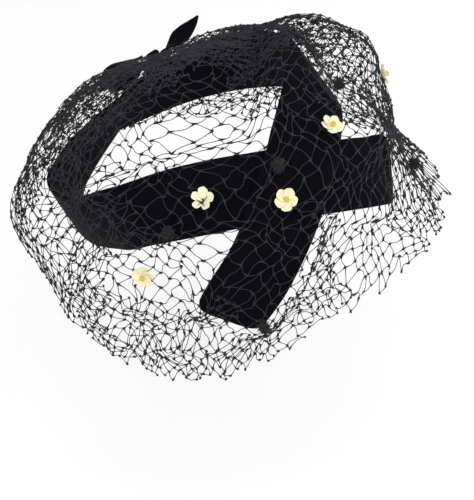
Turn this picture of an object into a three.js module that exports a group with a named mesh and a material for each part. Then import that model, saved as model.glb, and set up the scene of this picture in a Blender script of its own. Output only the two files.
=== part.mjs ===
// A cocktail hat: one velvet-covered band looped round the crown with its two ends crossed in
// front, a gathered net veil over it, a velvet bow behind, and small flowers and chenille dots.
// Millimetres, +Z up. The wearer looks along -Y, and the wearer's right is -X.
// The origin is the middle of the head opening, where the hat sits on the head.

import * as THREE from "three";
import { mergeVertices } from "three/addons/utils/BufferGeometryUtils.js";

// ---- driving dimensions ---------------------------------------------------------------------

const SIDE_TILT = 18;          // degrees that the band is worn down towards the wearer's right
const BACK_TILT = 4;           // degrees that it is worn back
const SEAT_GAP = 0.3;          // clearance between a piece and what carries it

const BAND_WIDTH = 40;
const BAND_THICKNESS = 3;
const BAND_CORNER = 6;         // rounding of the end corners
const BAND_STEPS = 72;
const BAND_SIDES = 10;
const CROSSING_LIFT = 2.2;     // each end moves this far off the common surface at the crossing
const CROSSING_START = 0.5;    // share of the half length where the lift begins
const CROSSING_FULL = 0.64;    // and where it is reached

// Half of the band's middle line, from the middle of the back round the wearer's left to the end
// that lies over the right temple. The other half is its mirror image.
// side, back, rise: place of the middle line; lean: degrees that the width drops below level, and
// over 90 it tucks the lower edge in.
const BAND_STATIONS = [
  { side: 0, back: 84, rise: -30, lean: 72 },
  { side: 36, back: 81, rise: -35, lean: 90 },
  { side: 64, back: 63, rise: -30, lean: 102 },
  { side: 76, back: 34, rise: -14, lean: 98 },
  { side: 76, back: 3, rise: 6, lean: 90 },
  { side: 69, back: -25, rise: 28, lean: 72 },
  { side: 48, back: -51, rise: 40, lean: 46 },
  { side: 20, back: -73, rise: 41, lean: 30 },
  { side: -11, back: -89, rise: 31, lean: 33 },
  { side: -41, back: -94, rise: 11, lean: 50 },
  { side: -67, back: -86, rise: -17, lean: 70 },
];

const VEIL_WALL = 1.2;
const VEIL_TOP = 50;           // height of the veil's top over the origin
const VEIL_COLUMNS = 15;       // diamonds round the veil
const VEIL_LEVELS = [0.05, 0.14, 0.25, 0.37, 0.49, 0.62, 0.75, 0.88, 1];   // drop of each knot row
const VEIL_STRAND = 2.4;       // width of one strand
const VEIL_SEAM = 3;           // knot row where the crown of the veil ends and its skirt begins
const SEAM_SHIFT = 0.003;      // share of the drop that either part stops short of their seam
const VEIL_EASE = 0.85;        // slack of the veil over what it lies on
const RIPPLES = 9;             // gathers round the hem
const RIPPLE_DEPTH = 3;
const HEAD_MIDDLE = new THREE.Vector3(0, 0, -35);

// The veil all round, one row for each direction. turn: degrees from the front, the wearer's left
// being +90. Each pair is the reach and the height of its upper bend, its waist and its hem.
const VEIL_ROWS = [
  { turn: -180, bend: [84, 1], waist: [99, -22], hem: [98, -48] },
  { turn: -150, bend: [86, 8], waist: [105, -22], hem: [100, -46] },
  { turn: -120, bend: [86, 4], waist: [107, -24], hem: [102, -46] },
  { turn: -90, bend: [88, 6], waist: [104, -34], hem: [103, -68] },
  { turn: -60, bend: [90, 12], waist: [100, -40], hem: [100, -88] },
  { turn: -30, bend: [94, 20], waist: [102, -30], hem: [106, -82] },
  { turn: 0, bend: [100, 28], waist: [108, -14], hem: [116, -52] },
  { turn: 30, bend: [104, 38], waist: [110, 2], hem: [136, -42] },
  { turn: 60, bend: [102, 46], waist: [106, 6], hem: [146, -38] },
  { turn: 90, bend: [98, 44], waist: [106, 0], hem: [126, -44] },
  { turn: 120, bend: [92, 30], waist: [102, -8], hem: [108, -50] },
  { turn: 150, bend: [90, 5], waist: [100, -18], hem: [100, -50] },
];

const PETAL_COUNT = 5;
const PETAL_REACH = 6.4;
const PETAL_THICKNESS = 1.1;
const PETAL_CUP = 1.6;         // rise of the petal tips over the flower's middle
const CENTRE_RADIUS = 1.5;
const DOT_RADIUS = 3.4;
const DOT_LOCKS = 0.7;         // how far the chenille's locks stand out

// What is sewn to the net. turn: degrees from the front; drop: share of the way from the veil's
// top to its hem; spin: degrees that the flower is turned about its own axis.
const FLOWERS = [
  { name: "flower_side", turn: -42, drop: 0.525, spin: 10, centre: false },
  { name: "flower_crossing", turn: -15, drop: 0.585, spin: 40, centre: true },
  { name: "flower_low", turn: -62, drop: 0.73, spin: 25, centre: true },
  { name: "flower_front", turn: 15, drop: 0.42, spin: 5, centre: true },
  { name: "flower_left", turn: 54, drop: 0.62, spin: 50, centre: true },
];
const DOTS = [
  { name: "dot_top", turn: 37, drop: 0.36 },
  { name: "dot_brow", turn: 46, drop: 0.865 },
  { name: "dot_crossing", turn: -14, drop: 0.455 },
  { name: "dot_side", turn: -53, drop: 0.62 },
  { name: "dot_temple", turn: -26, drop: 0.83 },
];

// The bow sits on the veil over the band's upper edge. turn, drop and spin as above; tip: degrees
// that its face is tipped up towards the crown; stand: lift that clears its lower edge.
const BOW = { turn: 153.5, drop: 0.68, spin: 161, tip: 36, stand: 1.9 };
const BOW_WALL = 1.6;          // doubled ribbon
const KNOT = { length: 12, width: 9, depth: 7 };

// Ribbon of the loop, from the knot out and back over itself. out: away from the knot; up: off the
// veil; half: half of its width.
const LOOP_STATIONS = [
  { out: 0, up: 1.2, half: 4 },
  { out: 7, up: 1.2, half: 6 },
  { out: 15, up: 1.5, half: 8.5 },
  { out: 22, up: 2.8, half: 9.5 },
  { out: 24, up: 5.6, half: 9.5 },
  { out: 21, up: 8.2, half: 9 },
  { out: 11, up: 8, half: 6.5 },
  { out: 2, up: 6, half: 4 },
];
// Ribbon of the tail, from the knot to its point.
const TAIL_STATIONS = [
  { out: 0, up: 2, half: 4 },
  { out: 6, up: 3, half: 6 },
  { out: 13, up: 4.4, half: 6.6 },
  { out: 21, up: 6.4, half: 5 },
  { out: 28, up: 8.4, half: 2.6 },
  { out: 32, up: 10, half: 0.6 },
];

// ---- shared helpers -------------------------------------------------------------------------

const radians = THREE.MathUtils.degToRad;
const { lerp, smoothstep } = THREE.MathUtils;

function solidGeometry(points, triangles) {
  const loose = new THREE.BufferGeometry();
  const flat = points.flatMap((p) => [p.x, p.y, p.z]);
  loose.setAttribute("position", new THREE.Float32BufferAttribute(flat, 3));
  loose.setIndex(triangles.flat());
  const geometry = mergeVertices(loose, 1e-3);
  geometry.computeVertexNormals();
  return geometry;
}

// A closed solid from rings of points: walls between the rings, and a fan over each end. Seen
// along the path, each ring turns clockwise.
function loftSolid(rings) {
  const count = rings[0].length;
  const points = rings.flat();
  const triangles = [];
  for (let i = 0; i + 1 < rings.length; i += 1) {
    for (let j = 0; j < count; j += 1) {
      const a = i * count + j;
      const b = i * count + ((j + 1) % count);
      triangles.push([a, b, b + count], [a, b + count, a + count]);
    }
  }
  for (const [ring, first] of [[0, true], [rings.length - 1, false]]) {
    const middle = new THREE.Vector3();
    rings[ring].forEach((p) => middle.addScaledVector(p, 1 / count));
    points.push(middle);
    for (let j = 0; j < count; j += 1) {
      const a = ring * count + j;
      const b = ring * count + ((j + 1) % count);
      triangles.push(first ? [b, a, points.length - 1] : [a, b, points.length - 1]);
    }
  }
  return solidGeometry(points, triangles);
}

// Flat oval section with soft corners, half wide and thick, spread over across and outward.
function ovalRing(middle, across, outward, half, thickness, sides) {
  const ring = [];
  for (let j = 0; j < sides; j += 1) {
    const turn = (2 * Math.PI * (j + 0.5)) / sides;
    const wide = Math.sign(Math.cos(turn)) * Math.abs(Math.cos(turn)) ** 0.4;
    const thick = Math.sign(Math.sin(turn)) * Math.abs(Math.sin(turn)) ** 0.6;
    ring.push(middle.clone()
      .addScaledVector(across, wide * half)
      .addScaledVector(outward, (thick * thickness) / 2));
  }
  return ring;
}

// ---- band -----------------------------------------------------------------------------------

const bandRows = [
  ...BAND_STATIONS.slice(1).reverse().map((row) => ({ ...row, side: -row.side })),
  ...BAND_STATIONS,
];
const bandLine = new THREE.CatmullRomCurve3(
  bandRows.map((row) => new THREE.Vector3(row.side, row.back, row.rise)),
  false,
  "centripetal",
);

function bandLean(share) {
  const place = ((share + 1) / 2) * (bandRows.length - 1);
  const low = Math.min(Math.floor(place), bandRows.length - 2);
  return lerp(bandRows[low].lean, bandRows[low + 1].lean, place - low);
}

// Frame of the band at a share from -1, the end over the left brow, to +1, the end over the right
// temple: its middle point, the direction from crown edge to lower edge, and the outward normal.
function bandFrame(share) {
  const at = (share + 1) / 2;
  const middle = bandLine.getPoint(at);
  const along = bandLine.getTangent(at);
  const level = new THREE.Vector3(-along.y, along.x, 0).normalize();
  const down = new THREE.Vector3().crossVectors(along, level).normalize();
  down.multiplyScalar(-Math.sign(down.z));
  const lean = radians(bandLean(share));
  const across = level.multiplyScalar(Math.cos(lean)).addScaledVector(down, Math.sin(lean));
  const outward = new THREE.Vector3().crossVectors(along, across).normalize();
  const lift = CROSSING_LIFT * smoothstep(Math.abs(share), CROSSING_START, CROSSING_FULL);
  middle.addScaledVector(outward, lift * Math.sign(share));
  return { middle, across, outward };
}

function makeBand() {
  const reach = bandLine.getLength() / 2;
  const corner = [0, 0.04, 0.15, 0.35, 0.65].map((part) => 1 - (part * BAND_CORNER) / reach);
  const last = 1 - BAND_CORNER / reach;
  const shares = corner.map((share) => -share);
  for (let i = 0; i <= BAND_STEPS; i += 1) {
    shares.push(lerp(-last, last, i / BAND_STEPS));
  }
  shares.push(...corner.reverse());
  return loftSolid(shares.map((share) => {
    const { middle, across, outward } = bandFrame(share);
    const cut = Math.max(0, 1 - ((1 - Math.abs(share)) * reach) / BAND_CORNER);
    const half = BAND_WIDTH / 2 - BAND_CORNER * (1 - Math.sqrt(1 - cut * cut));
    return ovalRing(middle, across, outward, half, BAND_THICKNESS, BAND_SIDES);
  }));
}

const band = new THREE.Mesh(makeBand().applyMatrix4(
  new THREE.Matrix4().makeRotationFromEuler(
    new THREE.Euler(radians(BACK_TILT), radians(-SIDE_TILT), 0),
  ),
));

// ---- veil -----------------------------------------------------------------------------------

// A pair of the veil's rows in any direction, eased between the neighbouring rows.
function veilPair(name, turn) {
  const count = VEIL_ROWS.length;
  const place = ((((turn + 180) % 360) + 360) % 360) / (360 / count);
  const low = Math.floor(place);
  const from = new THREE.Vector2(...VEIL_ROWS[low % count][name]);
  const to = new THREE.Vector2(...VEIL_ROWS[(low + 1) % count][name]);
  return from.lerp(to, smoothstep(place - low, 0, 1));
}

// The veil's side view in one direction: over the top, round the bend and down to the hem.
function veilProfile(turn) {
  const bend = veilPair("bend", turn);
  return new THREE.SplineCurve([
    new THREE.Vector2(0, VEIL_TOP),
    new THREE.Vector2(0.4 * bend.x, lerp(VEIL_TOP, bend.y, 0.1)),
    new THREE.Vector2(0.75 * bend.x, lerp(VEIL_TOP, bend.y, 0.45)),
    bend,
    veilPair("waist", turn),
    veilPair("hem", turn),
  ]);
}

// The farthest that the band reaches from the middle of the head, in and round one direction.
const probe = new THREE.Raycaster();
band.material.side = THREE.DoubleSide;
function bandReach(direction) {
  const level = new THREE.Vector3(-direction.y, direction.x, 0).normalize();
  const steep = new THREE.Vector3().crossVectors(direction, level);
  let reach = 0;
  for (let i = 0; i < 17; i += 1) {
    const aside = 0.07 * Math.ceil(i / 8);
    const toward = direction.clone()
      .addScaledVector(level, aside * Math.cos((i * Math.PI) / 4))
      .addScaledVector(steep, aside * Math.sin((i * Math.PI) / 4))
      .normalize();
    probe.set(HEAD_MIDDLE, toward);
    const hits = probe.intersectObject(band);
    reach = Math.max(reach, hits.length > 0 ? hits[hits.length - 1].distance : 0);
  }
  return reach;
}

// A point of the veil: turn degrees from the front, at a share of the way from its top to its hem,
// and depth below its outer face. It is lifted off the band wherever it lies on it.
function veilPoint(turn, drop, depth = 0) {
  const flat = veilProfile(turn).getPoint(drop);
  const ripple = RIPPLE_DEPTH * Math.cos(radians(turn) * RIPPLES) * smoothstep(drop, 0.5, 1);
  const round = flat.x + ripple;
  const point = new THREE.Vector3(
    round * Math.sin(radians(turn)),
    -round * Math.cos(radians(turn)),
    flat.y,
  );
  const away = point.sub(HEAD_MIDDLE);
  const reach = away.length();
  away.normalize();
  const clear = bandReach(away) + SEAT_GAP + VEIL_EASE + VEIL_WALL;
  return HEAD_MIDDLE.clone().addScaledVector(away, Math.max(reach, clear) - depth);
}

// The net's knots and the middles of its strands, before anything is sewn on.
function knotPlace(column, row) {
  return { turn: ((column + (row % 2) / 2) * 360) / VEIL_COLUMNS - 180, drop: VEIL_LEVELS[row] };
}
function strandPlace(from, to) {
  return { turn: (from.turn + to.turn) / 2, drop: (from.drop + to.drop) / 2 };
}
function placeKey({ turn, drop }) {
  return `${((turn + 540) % 360).toFixed(1)} ${drop.toFixed(3)}`;
}

// The corners of each gap whose upper knot is in one of some rows: four for a diamond, and three
// for the half diamonds at the hem.
function gapCorners(firstRow, endRow) {
  const last = VEIL_LEVELS.length - 1;
  const gaps = [];
  for (let column = 0; column < VEIL_COLUMNS; column += 1) {
    for (let row = firstRow; row < endRow; row += 1) {
      const left = column - 1 + (row % 2);
      const corners = [[column, row], [left, row + 1], [column, row + 2], [left + 1, row + 1]];
      gaps.push(corners.filter((corner) => corner[1] <= last).map((c) => knotPlace(...c)));
    }
  }
  return gaps;
}

// The knot or strand nearest to a sewn-on piece moves under it.
const sewnPlaces = new Map();
const crownGaps = gapCorners(0, VEIL_SEAM);
const skirtGaps = gapCorners(VEIL_SEAM, VEIL_LEVELS.length - 1);
const freePlaces = [...crownGaps, ...skirtGaps].flatMap((corners) => [corners[0], strandPlace(corners[0], corners[1]),
  strandPlace(corners[0], corners[corners.length - 1])]);
for (const sewn of [...FLOWERS, ...DOTS]) {
  const distance = ({ turn, drop }) => Math.hypot(
    Math.sin(radians(turn - sewn.turn) / 2) * 200,
    (drop - sewn.drop) * 190,
  );
  const nearest = freePlaces.reduce((a, b) => (distance(b) < distance(a) ? b : a));
  sewnPlaces.set(placeKey(nearest), { turn: sewn.turn, drop: sewn.drop });
}

function veilFaces({ turn, drop }) {
  return { outer: veilPoint(turn, drop), inner: veilPoint(turn, drop, VEIL_WALL) };
}

// The pierced wall round some gaps. moved: the place that a knot or strand middle goes to; isEdge:
// whether a knot lies on a free edge of the wall, which is closed between two such knots.
function makeNet(gaps, moved, isEdge) {
  const net = { points: [], triangles: [] };
  const quad = (...corners) => {
    const [i, j, k, l] = corners.map((point) => net.points.push(point) - 1);
    net.triangles.push([i, j, k], [i, k, l]);
  };
  for (const corners of gaps) {
    const knots = corners.flatMap((corner, i) => [
      corner,
      strandPlace(corner, corners[(i + 1) % corners.length]),
    ]);
    const places = knots.map(moved);
    const ring = places.map(veilFaces);
    const wide = ring[2].outer.distanceTo(ring[ring.length - 2].outer);
    const tall = ring[0].outer.distanceTo(ring[corners.length].outer) * (corners.length === 3 ? 2 : 1);
    const inset = Math.min(0.5, (VEIL_STRAND * Math.hypot(wide, tall)) / (wide * tall));
    const count = places.length;
    const middleTurn = places.reduce((sum, { turn }) => sum + turn, 0) / count;
    const middleDrop = places.reduce((sum, { drop }) => sum + drop, 0) / count;
    const hole = places.map(({ turn, drop }) => veilFaces({
      turn: lerp(turn, middleTurn, inset),
      drop: lerp(drop, middleDrop, inset),
    }));
    ring.forEach((from, i) => {
      const j = (i + 1) % ring.length;
      const to = ring[j];
      quad(from.outer, to.outer, hole[j].outer, hole[i].outer);
      quad(to.inner, from.inner, hole[i].inner, hole[j].inner);
      quad(hole[i].outer, hole[j].outer, hole[j].inner, hole[i].inner);
      if (isEdge(knots[i], knots[j])) {
        quad(to.outer, from.outer, from.inner, to.inner);
      }
    });
  }
  return net;
}

const sewnOr = (free) => sewnPlaces.get(placeKey(free)) ?? free;
const seamTop = VEIL_LEVELS[VEIL_SEAM];
const seamFoot = VEIL_LEVELS[VEIL_SEAM + 1];

// The crown: the upper rows of gaps, closed over the top by a fan.
function makeVeilCrown() {
  const moved = (free) => {
    const { turn, drop } = sewnOr(free);
    return { turn, drop: drop - (free.drop >= seamTop ? SEAM_SHIFT : 0) };
  };
  const isEdge = (from, to) => from.drop >= seamTop && to.drop >= seamTop;
  const { points, triangles } = makeNet(crownGaps, moved, isEdge);
  const triangle = (...corners) => triangles.push(corners.map((point) => points.push(point) - 1));
  const top = veilFaces({ turn: 0, drop: 0 });
  for (let column = 0; column < VEIL_COLUMNS; column += 1) {
    const knots = [knotPlace(column, 0), knotPlace(column, 1), knotPlace(column + 1, 0)];
    const [first, low, next] = knots.map(veilFaces);
    const before = veilFaces(strandPlace(knots[0], knots[1]));
    const after = veilFaces(strandPlace(knots[1], knots[2]));
    for (const [a, b, c] of [[top, first, next], [first, before, after], [before, low, after],
      [first, after, next]]) {
      triangle(a.outer, b.outer, c.outer);
      triangle(a.inner, c.inner, b.inner);
    }
  }
  return solidGeometry(points, triangles);
}

// The skirt: the lower rows of gaps, over the band and out to the hem.
function makeVeilSkirt() {
  const moved = (free) => {
    const { turn, drop } = sewnOr(free);
    return { turn, drop: drop + (free.drop <= seamFoot ? SEAM_SHIFT : 0) };
  };
  const isEdge = (from, to) => Math.max(from.drop, to.drop) <= seamFoot
    || Math.min(from.drop, to.drop) === 1;
  const { points, triangles } = makeNet(skirtGaps, moved, isEdge);
  return solidGeometry(points, triangles);
}

// Frame on the veil's outer face: the point, the way out of it and the way down it.
function veilFrame(turn, drop) {
  const point = veilPoint(turn, drop);
  const down = veilPoint(turn, drop + 0.02).sub(veilPoint(turn, drop - 0.02)).normalize();
  const aside = veilPoint(turn + 2, drop).sub(veilPoint(turn - 2, drop)).normalize();
  const out = new THREE.Vector3().crossVectors(down, aside).normalize();
  aside.crossVectors(out, down);
  return { point, out, down, aside };
}

// ---- flowers and dots -----------------------------------------------------------------------

// Move a shape made with its back on the XY plane onto the veil. It is tipped about its long
// direction, then spun about the way out of the veil, then stood off it.
function seatOnVeil(geometry, { turn, drop, spin = 0, tip = 0, stand = 0 }) {
  const { point, out, down, aside } = veilFrame(turn, drop);
  const onto = new THREE.Matrix4().makeBasis(aside, down.negate(), out);
  onto.setPosition(point.addScaledVector(out, SEAT_GAP + stand));
  onto.multiply(new THREE.Matrix4().makeRotationZ(radians(spin)));
  onto.multiply(new THREE.Matrix4().makeRotationX(radians(tip)));
  return geometry.applyMatrix4(onto);
}

// Five round petals in one cupped piece, open at the middle only as a dip.
function makePetals() {
  const around = PETAL_COUNT * 6;
  const rings = [0.35, 0.7, 1];
  const points = [];
  for (const back of [false, true]) {
    points.push(new THREE.Vector3(0, 0, back ? 0 : PETAL_THICKNESS));
    for (const ring of rings) {
      for (let i = 0; i < around; i += 1) {
        const turn = (2 * Math.PI * i) / around;
        const lobe = Math.abs(Math.cos((turn * PETAL_COUNT) / 2)) ** 0.55;
        const reach = PETAL_REACH * ring * lerp(1, lerp(0.5, 1, lobe), ring);
        const cup = PETAL_CUP * ring ** 2;
        const wall = PETAL_THICKNESS * (ring === 1 ? 0.6 : 1);
        points.push(new THREE.Vector3(
          reach * Math.cos(turn),
          reach * Math.sin(turn),
          cup + (back ? 0 : wall),
        ));
      }
    }
  }
  const triangles = [];
  const half = points.length / 2;
  const node = (side, ring, i) => side * half + 1 + ring * around + (i % around);
  for (let i = 0; i < around; i += 1) {
    triangles.push([0, node(0, 0, i), node(0, 0, i + 1)]);
    triangles.push([half, node(1, 0, i + 1), node(1, 0, i)]);
    for (let ring = 0; ring + 1 < rings.length; ring += 1) {
      for (const side of [0, 1]) {
        const [a, b] = [node(side, ring, i), node(side, ring, i + 1)];
        const [c, d] = [node(side, ring + 1, i), node(side, ring + 1, i + 1)];
        triangles.push(...(side === 0 ? [[a, c, d], [a, d, b]] : [[a, d, c], [a, b, d]]));
      }
    }
    const [a, b] = [node(0, rings.length - 1, i), node(0, rings.length - 1, i + 1)];
    const [c, d] = [node(1, rings.length - 1, i), node(1, rings.length - 1, i + 1)];
    triangles.push([a, c, d], [a, d, b]);
  }
  return solidGeometry(points, triangles);
}

function makeCentre() {
  const dome = mergeVertices(new THREE.SphereGeometry(CENTRE_RADIUS, 10, 8).deleteAttribute("uv")
    .deleteAttribute("normal"), 1e-3);
  return dome.translate(0, 0, PETAL_THICKNESS + SEAT_GAP + CENTRE_RADIUS);
}

// A ball of chenille: short locks stand out all over it.
function makeDot() {
  const ball = mergeVertices(
    new THREE.IcosahedronGeometry(DOT_RADIUS, 2).deleteAttribute("uv").deleteAttribute("normal"),
    1e-3,
  );
  const place = ball.attributes.position;
  const point = new THREE.Vector3();
  for (let i = 0; i < place.count; i += 1) {
    point.fromBufferAttribute(place, i);
    point.setLength(DOT_RADIUS + (i % 2) * DOT_LOCKS);
    place.setXYZ(i, point.x, point.y, point.z);
  }
  ball.computeBoundingBox();
  return ball.translate(0, 0, -ball.boundingBox.min.z);
}

// ---- bow ------------------------------------------------------------------------------------

// A ribbon through stations of out, up and half, starting gap away from the bow's middle.
function makeRibbon(stations, start, steps) {
  const line = new THREE.CatmullRomCurve3(
    stations.map(({ out, up }) => new THREE.Vector3(start + out, 0, up)),
    false,
    "centripetal",
  );
  const halves = new THREE.SplineCurve(stations.map(({ half }, i) => new THREE.Vector2(i, half)));
  const across = new THREE.Vector3(0, 1, 0);
  const rings = [];
  for (let i = 0; i <= steps; i += 1) {
    const at = i / steps;
    const outward = new THREE.Vector3().crossVectors(line.getTangent(at), across).normalize();
    const half = halves.getPoint(at).y;
    rings.push(ovalRing(line.getPoint(at), across, outward, half, BOW_WALL, 12));
  }
  return loftSolid(rings);
}

function makeKnot() {
  const rings = [];
  for (let i = 0; i <= 10; i += 1) {
    const at = (2 * i) / 10 - 1;
    const swell = Math.sqrt(1 - (0.96 * at) ** 2);
    const middle = new THREE.Vector3(0, (at * KNOT.length) / 2, KNOT.depth / 2);
    rings.push(ovalRing(
      middle,
      new THREE.Vector3(1, 0, 0),
      new THREE.Vector3(0, 0, -1),
      (swell * KNOT.width) / 2,
      swell * KNOT.depth,
      14,
    ));
  }
  return loftSolid(rings);
}

// ---- the pieces -----------------------------------------------------------------------------

const COLOURS = {
  velvet: { color: "#0b0c12", roughness: 0.95, metalness: 0 },
  net: { color: "#26272b", roughness: 0.8, metalness: 0 },
  petal: { color: "#f7f1d6", roughness: 0.7, metalness: 0 },
  flower_centre: { color: "#dcc02e", roughness: 0.7, metalness: 0 },
  chenille: { color: "#101014", roughness: 1, metalness: 0 },
};

const fascinator = new THREE.Group();
fascinator.name = "fascinator";

function addPiece(name, look, geometry) {
  const piece = new THREE.Mesh(geometry, new THREE.MeshStandardMaterial(COLOURS[look]));
  piece.name = name;
  fascinator.add(piece);
}

addPiece("velvet_band", "velvet", band.geometry);
addPiece("veil_crown", "net", makeVeilCrown());
addPiece("veil_skirt", "net", makeVeilSkirt());
for (const flower of FLOWERS) {
  addPiece(`${flower.name}_petals`, "petal", seatOnVeil(makePetals(), flower));
  if (flower.centre) {
    addPiece(`${flower.name}_centre`, "flower_centre", seatOnVeil(makeCentre(), flower));
  }
}
for (const dot of DOTS) {
  addPiece(dot.name, "chenille", seatOnVeil(makeDot(), dot));
}
const knotSide = KNOT.width / 2 + SEAT_GAP;
const loop = makeRibbon(LOOP_STATIONS, knotSide, 16).rotateZ(Math.PI);
addPiece("bow_knot", "velvet", seatOnVeil(makeKnot(), BOW));
addPiece("bow_loop", "velvet", seatOnVeil(loop, BOW));
addPiece("bow_tail", "velvet", seatOnVeil(makeRibbon(TAIL_STATIONS, knotSide, 12), BOW));

export default fascinator;
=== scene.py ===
"""A cocktail hat: a looped velvet band with its ends crossed in front, a gathered net veil over it,
a velvet bow behind, and cream flowers and chenille dots sewn to the net.

Metres, +Z up. The wearer looks along -Y and the wearer's right is -X. The origin is the middle of
the head opening.
"""

import math

import bpy
import numpy as np
from mathutils import Matrix, Vector


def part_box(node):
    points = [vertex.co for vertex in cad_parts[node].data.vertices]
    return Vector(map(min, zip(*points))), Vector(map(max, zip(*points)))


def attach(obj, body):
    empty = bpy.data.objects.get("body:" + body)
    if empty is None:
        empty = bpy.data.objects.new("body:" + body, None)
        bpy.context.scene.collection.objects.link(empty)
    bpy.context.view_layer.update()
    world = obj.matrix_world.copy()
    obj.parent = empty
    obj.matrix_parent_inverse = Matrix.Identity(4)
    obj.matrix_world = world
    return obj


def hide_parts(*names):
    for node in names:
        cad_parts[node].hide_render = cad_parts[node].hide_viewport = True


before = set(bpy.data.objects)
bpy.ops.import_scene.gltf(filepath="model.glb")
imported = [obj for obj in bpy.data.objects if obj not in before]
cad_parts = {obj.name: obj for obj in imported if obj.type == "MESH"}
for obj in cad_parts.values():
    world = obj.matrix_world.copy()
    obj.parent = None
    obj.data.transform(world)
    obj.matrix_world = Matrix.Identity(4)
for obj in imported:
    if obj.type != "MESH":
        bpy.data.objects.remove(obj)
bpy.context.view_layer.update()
MM = 0.001

# ---- sizes, in millimetres -------------------------------------------------------------------

SIDE_TILT = 18
BACK_TILT = 4
BAND_WIDTH = 40
BAND_THICKNESS = 3
BAND_CORNER = 6
CROSSING_LIFT = 2.2
CROSSING_START = 0.5
CROSSING_FULL = 0.64
# side, back and rise of the band's middle line, and the degrees that its width drops below level
BAND_STATIONS = np.array([
    (0, 84, -30, 72),
    (36, 81, -35, 90),
    (64, 63, -30, 102),
    (76, 34, -14, 98),
    (76, 3, 6, 90),
    (69, -25, 28, 72),
    (48, -51, 40, 46),
    (20, -73, 41, 30),
    (-11, -89, 31, 33),
    (-41, -94, 11, 50),
    (-67, -86, -17, 70),
], float)

VEIL_TOP = 50
RIPPLES = 9
RIPPLE_DEPTH = 3
HEAD_MIDDLE = np.array([0.0, 0.0, -35.0])
# turn, then reach and height of the veil's upper bend, of its waist and of its hem
VEIL_ROWS = np.array([
    (-180, 84, 1, 99, -22, 98, -48),
    (-150, 86, 8, 105, -22, 100, -46),
    (-120, 86, 4, 107, -24, 102, -46),
    (-90, 88, 6, 104, -34, 103, -68),
    (-60, 90, 12, 100, -40, 100, -88),
    (-30, 94, 20, 102, -30, 106, -82),
    (0, 100, 28, 108, -14, 116, -52),
    (30, 104, 38, 110, 2, 136, -42),
    (60, 102, 46, 106, 6, 146, -38),
    (90, 98, 44, 106, 0, 126, -44),
    (120, 92, 30, 102, -8, 108, -50),
    (150, 90, 5, 100, -18, 100, -50),
], float)

THREAD = 0.25                  # radius of the net's thread
KNOT = 0.85                    # radius of its knots
# radius of a thread, as shares of THREAD, at shares of the way from knot to knot
THREAD_TAPER = [3.2, 1.15, 0.95, 0.95, 1.15, 3.2]
THREAD_SHARES = [0, 0.17, 0.4, 0.6, 0.83, 1]
# how far the solid veil, the scene's net and what is sewn on are held off the band
WALL_SLACK = 1.6
NET_SLACK = 0.9
SEAT_SLACK = 2.35
DOT_INSET = 2.6                # the net meets a dot this far from its middle
TENT_WIDTH = 16                # width of the net's rise under a dot


# ---- numbers and curves ----------------------------------------------------------------------

def unit(vectors):
    """Each vector over its own length."""
    return vectors / np.maximum(np.linalg.norm(vectors, axis=-1, keepdims=True), 1e-9)


def ease(x, low, high):
    """Smooth step: 3 s^2 - 2 s^3 of the share s of the way from low to high, held at 0 and 1."""
    share = np.clip((x - low) / (high - low), 0, 1)
    return share * share * (3 - 2 * share)


def waves(points, size, seed, terms=7):
    """Smooth noise from -1 to 1: the mean of sines along random directions, each about size long."""
    rng = np.random.default_rng(seed)
    ways = unit(rng.normal(size=(terms, points.shape[-1])))
    steps = 2 * np.pi / (size * rng.uniform(0.7, 1.5, terms))
    shifts = rng.uniform(0, 2 * np.pi, terms)
    return np.sin(points @ ways.T * steps + shifts).sum(-1) / math.sqrt(terms) / 1.3


def turned(degrees, axis):
    """Rotation matrix of so many degrees about x, y or z."""
    return np.array(Matrix.Rotation(math.radians(degrees), 3, axis))


def hat_turn(points):
    """Points of the untilted hat, tilted to the wearer's right and then back."""
    side, back = math.radians(-SIDE_TILT), math.radians(BACK_TILT)
    about_y = np.array([
        [math.cos(side), 0, math.sin(side)], [0, 1, 0], [-math.sin(side), 0, math.cos(side)],
    ])
    about_x = np.array([
        [1, 0, 0], [0, math.cos(back), -math.sin(back)], [0, math.sin(back), math.cos(back)],
    ])
    return points @ (about_x @ about_y).T


def curve(stations, at):
    """Centripetal Catmull-Rom curve through stations: between two of them a cubic whose end slopes
    come from the neighbours, each weighed by the square root of its distance."""
    ends = np.vstack([2 * stations[0] - stations[1], stations, 2 * stations[-1] - stations[-2]])
    place = np.clip(at, 0, 1) * (len(stations) - 1)
    low = np.minimum(place.astype(int), len(stations) - 2)
    share = (place - low)[:, None]
    a, b, c, d = (ends[low + i] for i in range(4))
    before, middle, after = (
        np.sqrt(np.linalg.norm(q - p, axis=1))[:, None] for p, q in ((a, b), (b, c), (c, d))
    )
    start = ((b - a) / before - (c - a) / (before + middle) + (c - b) / middle) * middle
    end = ((c - b) / middle - (d - b) / (middle + after) + (d - c) / after) * middle
    return (
        b + start * share + (3 * (c - b) - 2 * start - end) * share ** 2
        + (2 * (b - c) + start + end) * share ** 3
    )


def even_curve(rows, place):
    """Uniform Catmull-Rom curve through rows at a place counted in rows, on any number of columns."""
    low = np.clip(place.astype(int), 0, rows.shape[-2] - 2)
    share = (place - low)[:, None]
    picks = [np.clip(low + i, 0, rows.shape[-2] - 1) for i in (-1, 0, 1, 2)]
    if rows.ndim == 3:
        a, b, c, d = (rows[np.arange(len(place)), pick] for pick in picks)
    else:
        a, b, c, d = (rows[pick] for pick in picks)
    start, end = (c - a) / 2, (d - b) / 2
    return (
        b + start * share + (3 * (c - b) - 2 * start - end) * share ** 2
        + (2 * (b - c) + start + end) * share ** 3
    )


# ---- meshes ----------------------------------------------------------------------------------

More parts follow.
